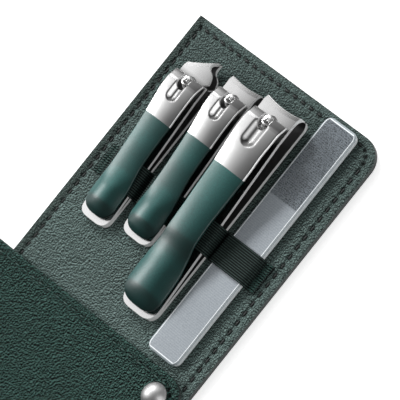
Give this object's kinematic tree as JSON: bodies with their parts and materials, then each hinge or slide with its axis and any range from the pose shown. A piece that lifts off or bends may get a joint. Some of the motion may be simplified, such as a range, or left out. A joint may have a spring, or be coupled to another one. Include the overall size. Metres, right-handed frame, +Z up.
{
  "type": "manicure set case",
  "caption": "Manicure set in a flat stitched leather case, opened: nail clippers and a glass file under an elastic band, cover turned aside on a press stud.",
  "frame": {"origin": "centre of the opened case's bounding box, on the table under the tool board", "axes": "+Z up from the table; +Y along the tools towards their jaws, away from the press stud; +X to the right, towards the file"},
  "size_m": [0.112, 0.178, 0.0172],
  "materials": {
    "outer_leather": "dark green pebbled leather, stitched",
    "lining_leather": "grey green pebbled lining leather",
    "card": "pulp board, edge painted dark green",
    "elastic": "ribbed dark green elastic",
    "snap_metal": "satin silver",
    "steel": "polished steel",
    "lacquered_steel": "glossy dark green lacquer with a bright steel head",
    "glass": "clear at the top, etched and frosted below"
  },
  "bodies": {
    "tool_board": {"board_shell": "outer_leather", "board_card": "card", "board_lining": "lining_leather", "elastic_band": "elastic", "snap_post": "snap_metal", "snap_stud": "snap_metal"},
    "snap_button": {"snap_cap": "snap_metal", "snap_socket": "snap_metal"},
    "cover": {"cover_shell": "outer_leather", "cover_card": "card", "cover_lining": "lining_leather"},
    "slant_clipper": {"slant_lower_arm": "steel", "slant_post": "steel", "slant_rivet": "steel"},
    "slant_jaw": {"slant_upper_arm": "steel"},
    "slant_handle": {"slant_lever": "lacquered_steel"},
    "small_clipper": {"small_lower_arm": "steel", "small_post": "steel", "small_rivet": "steel"},
    "small_jaw": {"small_upper_arm": "steel"},
    "small_handle": {"small_lever": "lacquered_steel"},
    "large_clipper": {"large_lower_arm": "steel", "large_post": "steel", "large_rivet": "steel"},
    "large_jaw": {"large_upper_arm": "steel"},
    "large_handle": {"large_lever": "lacquered_steel"},
    "file": {"glass_file": "glass"}
  },
  "joints": [
    {"name": "snap_release", "type": "slide", "parent": "tool_board", "child": "snap_button", "axis": [0, 0, 1], "range_m": [0, 0.02]},
    {"name": "cover_swing", "type": "hinge", "parent": "snap_button", "child": "cover", "pos_m": [0.048, -0.015, 0.005], "axis": [0, 0, 1], "range_deg": [0, 120]},
    {"name": "slant_slide", "type": "slide", "parent": "tool_board", "child": "slant_clipper", "axis": [0, 1, 0], "range_m": [0, 0.026], "deforming": ["elastic_band"]},
    {"name": "slant_squeeze", "type": "hinge", "parent": "slant_clipper", "child": "slant_jaw", "pos_m": [-0.0093, 0.0215, 0.0042], "axis": [-1, 0, 0], "range_deg": [0, 1], "stiffness_Nm_per_rad": 20},
    {"name": "slant_lift", "type": "hinge", "parent": "slant_clipper", "child": "slant_handle", "pos_m": [-0.0093, 0.0687, 0.01225], "axis": [-1, 0, 0], "range_deg": [0, 150]},
    {"name": "small_slide", "type": "slide", "parent": "tool_board", "child": "small_clipper", "axis": [0, 1, 0], "range_m": [0, 0.022], "deforming": ["elastic_band"]},
    {"name": "small_squeeze", "type": "hinge", "parent": "small_clipper", "child": "small_jaw", "pos_m": [0.0069, 0.025, 0.0042], "axis": [-1, 0, 0], "range_deg": [0, 1.1], "stiffness_Nm_per_rad": 20},
    {"name": "small_lift", "type": "hinge", "parent": "small_clipper", "child": "small_handle", "pos_m": [0.0069, 0.0722, 0.01225], "axis": [-1, 0, 0], "range_deg": [0, 150]},
    {"name": "large_slide", "type": "slide", "parent": "tool_board", "child": "large_clipper", "axis": [0, 1, 0], "range_m": [0, 0.04], "deforming": ["elastic_band"]},
    {"name": "large_squeeze", "type": "hinge", "parent": "large_clipper", "child": "large_jaw", "pos_m": [0.0236, 0.0074, 0.0044], "axis": [-1, 0, 0], "range_deg": [0, 0.8], "stiffness_Nm_per_rad": 20},
    {"name": "large_lift", "type": "hinge", "parent": "large_clipper", "child": "large_handle", "pos_m": [0.0236, 0.0738, 0.01495], "axis": [-1, 0, 0], "range_deg": [0, 150]},
    {"name": "file_slide", "type": "slide", "parent": "tool_board", "child": "file", "axis": [0, 1, 0], "range_m": [0, 0.046], "deforming": ["elastic_band"]}
  ]
}
